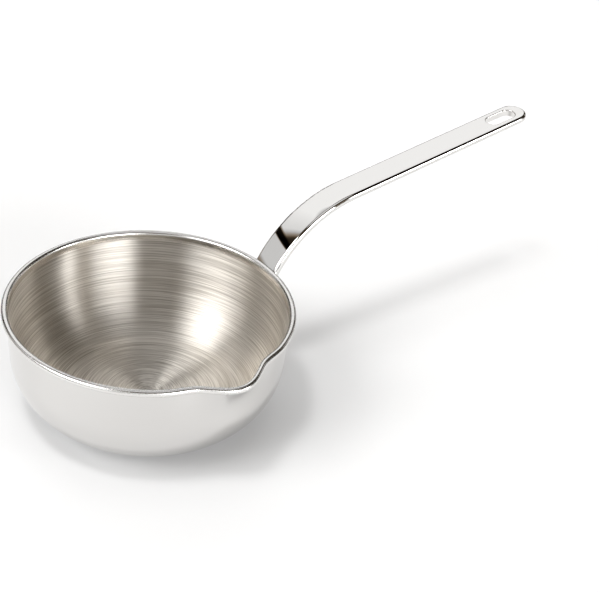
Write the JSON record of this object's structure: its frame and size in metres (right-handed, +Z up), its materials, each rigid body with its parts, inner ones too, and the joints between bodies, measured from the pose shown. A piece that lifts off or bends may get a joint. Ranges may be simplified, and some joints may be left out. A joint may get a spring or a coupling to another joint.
{
  "type": "omelette pan",
  "caption": "Small round stainless steel omelette pan with rounded belly, rolled rim, side pouring lip and a bent flat bar handle with a hanging slot.",
  "frame": {"origin": "middle of the flat face that the pan stands on", "axes": "+X from the middle of the bowl along the handle, +Z up, -Y towards the pouring lip"},
  "size_m": [0.3159, 0.1465, 0.1046],
  "materials": {
    "bowl_steel": "mirror polished outside and on the rim, turned satin inside",
    "handle_steel": "mirror polished",
    "base_steel": "turned satin",
    "spreader_aluminium": "bare, closed in",
    "weld_steel": "as welded"
  },
  "bodies": {
    "root": {"bowl": "bowl_steel", "heat_spreader_disc": "spreader_aluminium", "base_cap": "base_steel", "handle": "handle_steel", "handle_spot_welds": "weld_steel"}
  },
  "joints": []
}
